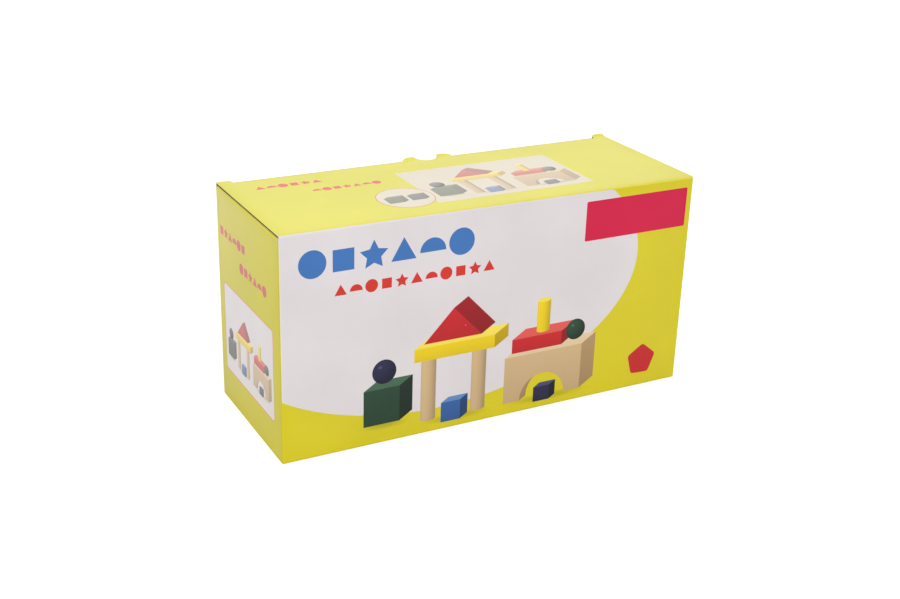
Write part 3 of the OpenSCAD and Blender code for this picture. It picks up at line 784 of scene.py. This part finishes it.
def end_wall_print(place, side):
    """Print of an end wall: two rows of shapes and a framed picture of blocks."""
    drawn_on = from_left(place, SIDE_Y, side)
    drawn = shape_row(drawn_on, 6.5, 62.5, 137, 146.5, 6, PALE_CRIMSON, 2)
    drawn += shape_row(drawn_on, 48, 105, 120, 129.5, 6, PALE_CRIMSON)
    drawn.append(film(drawn_on, rounded_rectangle(11.5, 27.3, 115, 100.3, 3), 1, REDS[1]))
    drawn.append(film(drawn_on, rounded_rectangle(12, 27.8, 114.5, 99.8, 2.6), 2, WHITE))
    return drawn + picture(drawn_on, 17, 37, 0.45, WHITE, 1, 0.2)


def lid_print():
    """Print of the lid: two rows of shapes, a white panel with blocks, and a round inset with two cubes.
    It is laid out from the lid's left end and its middle line."""
    drawn_on = from_left(on_lid, END_X)
    drawn = shape_row(drawn_on, 21.5, 76, 34.5, 43.5, 6, PALE_RED, 1)
    drawn += shape_row(drawn_on, 59.5, 116.5, 14.5, 23.5, 7, PALE_RED, 3)
    drawn.append(film(drawn_on, rectangle(134.5, -43.3, 269.3, 33.2), 1, CREAM))
    drawn += picture(drawn_on, 142, -37, 0.6, CREAM, 0, 0.3)
    drawn.append(film(drawn_on, regular(116.5, -23, 22.4, 72), 2, PALE_RED))
    drawn.append(film(drawn_on, regular(116.5, -23, 21.9, 72), 3, CREAM))
    cubes = cuboid(100, -32, 12, 12, 9, GREENS, 4) + cuboid(119, -31, 11, 11, 8, NAVIES, 4)
    return drawn + picture(drawn_on, 0, 0, 1.0, CREAM, 0, 0.3, cubes)


# Carton

def arc_stations(low, high, foot=True, top=True):
    """Stations along a coordinate: flat between low and high, and five more round the half fold at its
    foot and at its top."""
    before = np.linspace(low - HALF_FOLD, low, 6)[:-1] if foot else []
    after = np.linspace(high, high + HALF_FOLD, 6)[1:] if top else []
    return np.concatenate([before, [low, high], after])


def walled(place, across, along, rim=CUT, tone=YELLOW, cell_tones=None):
    """Panel as one closed skin, printed outside and bare inside. It has no open flutes: its edges are
    joined to other panels, or their paper is drawn over them."""
    grid = np.repeat(along[:, None], len(across), 1)
    return shell(place(across, grid, PRINT_DEPTH), place(across, grid, BOARD), (PRINTED, rim, INSIDE),
                 tone, None, cell_tones)


def fold_strip(name, place, spans, limit, inks=None):
    """Fold: a quarter of a round, which joins the panels on both sides of it as a piece of its own, at rest.
    """
    along = np.linspace(limit, limit + QUARTER_FOLD, 13)
    parts = [walled(place, span, along, cell_tones=inks(span, along) if inks else None)
             for span in map(np.array, spans)]
    piece = add_piece(name, parts, None, (), across_axis=1 if "dust" in name else 0)
    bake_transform(piece)


def lid_fold_inks(across, along):
    """The print changes on the fold: below is the front wall's white field and yellow, and above a paler
    yellow that is painted sheen of the lid's varnish. The border slants a little down to the right, from the
    fold's top to its foot."""
    border = FOLD_Z + HALF_FOLD - PRINT_SLANT * (across[:-1] + across[1:]) / LENGTH
    below = ((along[:-1] + along[1:])[:, None] / 2 < border)[..., None]
    field = (across[1:] <= FIELD_END)[None, :, None]
    return np.where(below, np.where(field, WHITE, YELLOW), LID_SHEEN_YELLOW)


def back_rim(across):
    """Height of the back wall's rim: level, with a thumb cut that is an arc of a circle."""
    radius = (THUMB_HALF ** 2 + THUMB_DEPTH ** 2) / (2 * THUMB_DEPTH)
    from_cut = np.minimum(np.abs(across - TAB_X), THUMB_HALF)
    return FLAP_TOP + radius - THUMB_DEPTH - np.sqrt(radius ** 2 - from_cut ** 2)


def make_tube():
    """Four walls of the carton, whose corners are rounds split on their mitres, and the seam flap. The
    printed paper of the end walls is drawn down over the ends of the outer bottom flaps."""
    across = arc_stations(*WALL_X)
    up = arc_stations(*FRONT_Z, top=False)
    front = [walled(on_front, across, up)] + long_wall_print(on_front, 1, lambda u: FOLD_Z)
    add_piece("printed_front_wall", front, "carton", ["front_panel"])
    thumb_cut = TAB_X + THUMB_HALF * np.sin(np.linspace(-math.pi / 2, math.pi / 2, 31))
    across = np.concatenate([across[:6], thumb_cut, across[6:]])
    below_cut = 150.0
    low = arc_stations(FOLD_R, below_cut, top=False)
    grid = np.concatenate([np.repeat(low[:, None], len(across), 1), back_rim(across)[None]])
    back = bent_board(on_back, across, grid)
    back += long_wall_print(on_back, -1, lambda u: back_rim(END_X - u) - 0.2)
    add_piece("printed_back_wall", back, "carton", ["back_panel"], materials=RIM_LAYERS)
    across = arc_stations(*WALL_Y)
    up = arc_stations(*END_Z, top=False)
    above_floor, paper_back = 0.2, 0.4
    foot = above_floor + np.maximum(np.abs(across) - WALL_Y[1], 0) / HALF_FOLD
    drawn_over = np.stack([foot, np.full(len(across), END_Z[0])])
    for name, side, place in (("left", -1, on_left), ("right", 1, on_right)):
        upright = wall((1, 2, 0), side * END_X, -side, WALL_Y)
        near, far = (upright(across, drawn_over, depth) for depth in (PRINT_DEPTH, paper_back))
        # The end walls and the paper drawn over the flaps' ends take the darker copy of the yellow: painted
        # shade
        skins = [walled(place, across, up, CUT, END_SHADED_YELLOW),
                 shell(near, far, (PRINTED, PRINTED, INSIDE), END_SHADED_YELLOW)]
        skins += end_wall_print(place, side)
        add_piece("printed_%s_wall" % name, skins, "carton", [name + "_panel"], across_axis=1)
    plain = board(on_glue_flap, rectangle(38.5, 5.8, 63.2, 168.7))
    add_piece("seam_flap", plain, "carton", ["glue_flap"], PLAIN_LAYERS, 1)


def make_bottom():
    """Two outer flaps that meet at the seam, and two end flaps inside them."""
    half_seam = 0.2
    for name, place, side in (("front", on_bottom_front, -1), ("back", on_bottom_back, 1)):
        run = arc_stations(half_seam, SIDE_Y - FOLD_R, foot=False)
        skins = [walled(place, np.array([-LID_X, LID_X]), run if side > 0 else -run[::-1], PRINTED)]
        add_piece("outer_bottom_flap_" + name, skins, "carton", ["bottom_%s_flap" % name])
    across = np.array([-END_FLAP_Y, -INNER_TIP_Y, INNER_TIP_Y, END_FLAP_Y])
    shoulder, tip = 172.0, 113.0
    run = np.repeat(np.linspace(FOLD_X, FOLD_X + HALF_FOLD, 6)[:, None], 4, 1)
    rows = np.concatenate([[[shoulder, tip, tip, shoulder]], run])
    for name, place, side in (("left", on_bottom_left, -1), ("right", on_bottom_right, 1)):
        skins = bent_board(place, across, rows if side > 0 else -rows[::-1])
        add_piece("inner_bottom_flap_" + name, skins, "carton", ["bottom_%s_flap" % name],
                  PLAIN_LAYERS, 1)


def lid_outline():
    """Flat part of the lid seen from above, as far as its tuck fold and the roots of its ears and tab."""
    end = np.array([[LID_X, -SIDE_Y + FOLD_R], [LID_X, EAR_ROOT], [EAR_X, EAR_ROOT], [EAR_X, FOLD_Y]])
    tab = np.array([[TAB_HALF, FOLD_Y], [TAB_HALF, TAB_ROOT]])
    middle = np.array([TAB_X, 0])
    return np.concatenate([end, middle + tab, middle + tab[::-1] * [-1, 1], end[::-1] * [-1, 1]])


def turned_up(across, root, back, rise):
    """Board of the lid from a root line to a back edge, which is a place for each column. Its height grows
    with the square of the way from the root, up to a rise at the carton's own back."""
    def place(across, along, depth):
        point = on_lid(across, along, depth)
        point[..., 2] += rise * np.clip((along - root) / (SIDE_Y - root), 0, 1) ** 2
        return point

    steps = np.linspace(0, 1, 7)[:, None]
    # The ears and the tab take the lid's lighter copy of the yellow: painted light
    return bent_board(place, across, root + (back - root) * steps, LID_LIT_YELLOW)


def finger_tab():
    """Finger tab: its outer corners are quarters of an ellipse, and the notch is an arc of a circle."""
    corner = TAB_HALF - TAB_CORNER + TAB_CORNER * np.sin(np.linspace(0, math.pi / 2, 9))
    notch_half = math.sqrt(NOTCH_R ** 2 - (NOTCH_Y - SIDE_Y) ** 2)
    half = np.concatenate([notch_half * np.sin(np.linspace(0, math.pi / 2, 13)), corner])
    half = np.concatenate([-half[:0:-1], half])
    away = np.abs(half)
    past = np.maximum(away - TAB_HALF + TAB_CORNER, 0) / TAB_CORNER
    edge = SIDE_Y - TAB_CORNER_DEPTH * (1 - np.sqrt(1 - past ** 2))
    notch = NOTCH_Y - np.sqrt(np.clip(NOTCH_R ** 2 - away ** 2, 0, None))
    back = np.where(away <= notch_half, notch, edge)
    return turned_up(TAB_X + half, TAB_ROOT, back, TAB_RISE)


def ear(side, rise):
    """Ear at a back corner of the lid, whose inner corner is a quarter circle."""
    swing = EAR_CORNER * np.sin(np.linspace(0, math.pi / 2, 9))
    across = np.append(EAR_X + EAR_CORNER - swing[::-1], LID_X)
    back = np.append(SIDE_Y - EAR_CORNER + np.sqrt(EAR_CORNER ** 2 - swing[::-1] ** 2), SIDE_Y)
    if side < 0:
        across, back = -across[::-1], back[::-1]
    return turned_up(across, EAR_ROOT, back, rise)


def make_lid():
    """Lid, tuck flap and dust flaps, with the folds that they turn on."""
    # The lid is printed in its lighter copy of the yellow: painted light
    skins = board(on_lid, lid_outline(), LID_LIT_YELLOW) + finger_tab() + lid_print()
    skins += ear(-1, LEFT_EAR_RISE) + ear(1, RIGHT_EAR_RISE)
    add_piece("printed_lid", skins, "lid", ["lid_panel"])
    stations = np.append(np.linspace(-LID_FOLD_X, FIELD_END, 25),
                         np.linspace(FIELD_END, LID_FOLD_X, 8)[1:])
    fold_strip("lid_fold", on_lid_fold, [stations], FOLD_Z,
               lid_fold_inks)

    foot = 158.0
    corner = 6.0
    shoulder = TUCK_X - 2.0
    window = HEIGHT - 7.0
    outline = np.array([[-TUCK_X, FOLD_Z], [-shoulder, foot + corner], [-shoulder + corner, foot],
                        [shoulder - corner, foot], [shoulder, foot + corner], [TUCK_X, FOLD_Z],
                        [WINDOW_RIGHT, FOLD_Z], [WINDOW_RIGHT, window], [WINDOW_LEFT, window],
                        [WINDOW_LEFT, FOLD_Z]])
    add_piece("printed_tuck_flap", board(on_tuck, outline), "tuck", ["tuck_flap"])
    fold_strip("tuck_fold", on_tuck_fold, [(-TUCK_X, WINDOW_LEFT), (WINDOW_RIGHT, TUCK_X)], FOLD_Y)

    step = EAR_X + SLIT
    tip = 125.0
    outline = np.array([[-END_FLAP_Y, FOLD_X], [-38.3, tip], [54.5, tip], [58.5, step],
                        [END_FLAP_Y, step], [END_FLAP_Y, FOLD_X]])
    low = FLAP_TOP - FOLD_R
    for name, side, place in (("left", -1, on_left_fold), ("right", 1, on_right_fold)):
        add_piece("printed_%s_dust_flap" % name, board(on_dust_flap, outline * np.array([1, side])),
                  name + "_dust", [name + "_dust_flap"], across_axis=1)
        fold_strip(name + "_dust_fold", place, [(-END_FLAP_Y, END_FLAP_Y)], low)


make_tube()
make_bottom()
make_lid()


# Balance

def softened(node, width, material):
    """Copy of a wooden node with its long edges rounded off: the loose triangles are merged and flat
    ones joined, and the Bevel takes edges longer than a bore's facets."""
    source = frame["nodes"][node]
    mesh = source.data.copy()
    shape = bmesh.new()
    shape.from_mesh(mesh)
    bmesh.ops.remove_doubles(shape, verts=shape.verts, dist=1e-6)
    bmesh.ops.dissolve_limit(shape, angle_limit=math.radians(1), verts=shape.verts, edges=shape.edges)
    weight = shape.edges.layers.float.new("bevel_weight_edge")
    for edge in shape.edges:
        if edge.calc_length() > 0.0004 and edge.calc_face_angle(0) > math.radians(30):
            edge[weight] = 1.0
    shape.to_mesh(mesh)
    shape.free()
    mesh.materials.clear()
    mesh.materials.append(material)
    mesh.shade_smooth()
    mesh.set_sharp_from_angle(angle=math.radians(35))
    piece = placed("soft_" + node, mesh)
    round_off = piece.modifiers.new("round_off", "BEVEL")
    round_off.width = width / 1000
    round_off.segments = 3
    round_off.limit_method = "WEIGHT"
    round_off.use_clamp_overlap = False
    round_off.harden_normals = True
    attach(piece, source["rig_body"])
    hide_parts(node)
    return piece


BEECH_LIGHT = (0.68, 0.52, 0.33, 1)
BEECH_DARK = (0.53, 0.37, 0.21, 1)
BEECH_X = wood_material("beech_along", 0, BEECH_LIGHT, BEECH_DARK)
BEECH_Z = wood_material("beech_up", 2, BEECH_LIGHT, BEECH_DARK)
DOWEL = wood_material("dowel_wood", 1, (0.57, 0.4, 0.22, 1), (0.4, 0.26, 0.13, 1), 0.6)
LACQUERS = {colour: lacquer_material(colour + "_lacquer", tone, grain) for colour, tone, grain in (
    ("yellow", (0.82, 0.62, 0.02), 0), ("red", (0.6, 0.02, 0.025), 0),
    ("green", (0.02, 0.07, 0.035), 2), ("navy", (0.02, 0.022, 0.06), 2))}
STEEL = steel_material()


def dress(node, material):
    """Gives a CAD node its material."""
    piece = frame["nodes"][node]
    piece.data.materials.clear()
    piece.data.materials.append(material)


def make_balance():
    """Wooden parts of the balance and its weights."""
    for node in ("base_board", "upper_beam", "lower_beam"):
        softened(node, 0.8, BEECH_X)
    softened("pillar", 0.8, BEECH_Z)
    for side, colour in (("left", "yellow"), ("right", "red")):
        for plate in ("front", "rear"):
            softened("%s_hanger_%s_plate" % (side, plate), 0.6, BEECH_Z)
        softened(side + "_tray", 0.9, LACQUERS[colour])
    for i, colour in enumerate(["green", "navy", "yellow", "navy", "green"], 1):
        softened("weight_%d_block" % i, 1.2, LACQUERS[colour])
        dress("weight_%d_knob" % i, LACQUERS[colour])
    for node in frame["nodes"]:
        if node.endswith("_caps"):
            dress(node, LACQUERS["navy"])
        elif node.endswith(("_pins", "_dowels")):
            dress(node, DOWEL)
    dress("pillar_screws", STEEL)


make_balance()


def make_camera():
    """Camera of the photograph, from a fit to the carton's outline and its creases."""
    azimuth, elevation, roll = np.radians([-28.5908, 22.715, 1.7851]).tolist()
    aside, above, distance = -0.005565, -0.011555, 1.061735
    back = Vector((math.sin(azimuth) * math.cos(elevation), -math.cos(azimuth) * math.cos(elevation),
                   math.sin(elevation)))
    level = (-back).cross(Vector((0, 0, 1))).normalized()
    rise = level.cross(-back)
    right = math.cos(roll) * level + math.sin(roll) * rise
    up = math.cos(roll) * rise - math.sin(roll) * level
    target = Vector((0, 0, HEIGHT / 2000)) + right * aside + up * above
    eye = target + back * distance
    data = bpy.data.cameras.new("camera")
    data.sensor_width = 36
    data.lens = 53.2722
    data.clip_start = 0.01
    camera = placed("camera", data)
    camera.matrix_world = Matrix.Translation(eye) @ Matrix((right, up, back)).transposed().to_4x4()
    bpy.context.scene.camera = camera


def make_light(name, place, aim, size, power):
    """Square soft lamp at a place, turned to an aim."""
    data = bpy.data.lights.new(name, "AREA")
    data.size = size
    data.energy = power
    lamp = placed(name, data)
    lamp.location = place
    lamp.rotation_euler = (Vector(place) - Vector(aim)).to_track_quat("Z", "Y").to_euler()
    lamp.visible_camera = False


def make_surroundings():
    """Pale floor and world: white for the camera and in reflections, softer as light. In reflections the
    floor glows less near the carton, as painted shade.
    """
    world = bpy.data.worlds.new("world")
    world.use_nodes = True
    bpy.context.scene.world = world
    tree = world.node_tree
    tree.nodes.clear()
    rays = add(tree, "LightPath")
    seen = calc(tree, "MAXIMUM", rays.outputs["Is Camera Ray"], rays.outputs["Is Glossy Ray"])
    seen = calc(tree, "MAXIMUM", seen, rays.outputs["Is Transmission Ray"])
    shown = add(tree, "Background", {"Color": (1, 1, 1, 1), "Strength": 1.0})
    light = add(tree, "Background", {"Color": (1, 1, 1, 1), "Strength": 0.55})
    both = add(tree, "MixShader", {0: seen, 1: light.outputs[0], 2: shown.outputs[0]})
    add(tree, "OutputWorld", {0: both.outputs[0]}, is_active_output=True)

    made, tree, shader = new_material("floor")
    rays = add(tree, "LightPath")
    away = add(tree, "VectorMath", {0: here(tree)}, operation="LENGTH").outputs["Value"]
    # Glow seen in reflections, weaker near the carton: painted shade of the carton on the floor
    glossy_glow_with_painted_shade = ease(tree, away, 0.2, 0.6, 0.0, 0.52)
    seen = ease(tree, away, 0.6, 3.0, 0.42, 0.6)
    glow = calc(tree, "MULTIPLY", rays.outputs["Is Glossy Ray"], glossy_glow_with_painted_shade)
    glow = calc(tree, "MULTIPLY_ADD", rays.outputs["Is Camera Ray"], seen, glow)
    feed(tree, shader, {"Base Color": (0.86, 0.86, 0.86, 1), "Roughness": 0.9,
                        "Emission Color": (1, 1, 1, 1), "Emission Strength": glow})
    mesh = bpy.data.meshes.new("floor")
    mesh.from_pydata([(-6, -6, 0), (6, -6, 0), (6, 6, 0), (-6, 6, 0)], [], [(0, 1, 2, 3)])
    mesh.materials.append(made)
    floor = placed("floor", mesh)
    make_light("key", (-0.5, -1.5, 1.9), (0, 0, 0.08), 1.6, 26)
    make_light("fill", (-1.9, 0.2, 1.2), (0, 0, 0.08), 1.4, 8)
    make_light("back", (0.8, 1.5, 1.3), (0, 0, 0.12), 1.2, 5)


make_camera()
make_surroundings()
bpy.context.scene.view_settings.view_transform = "Standard"
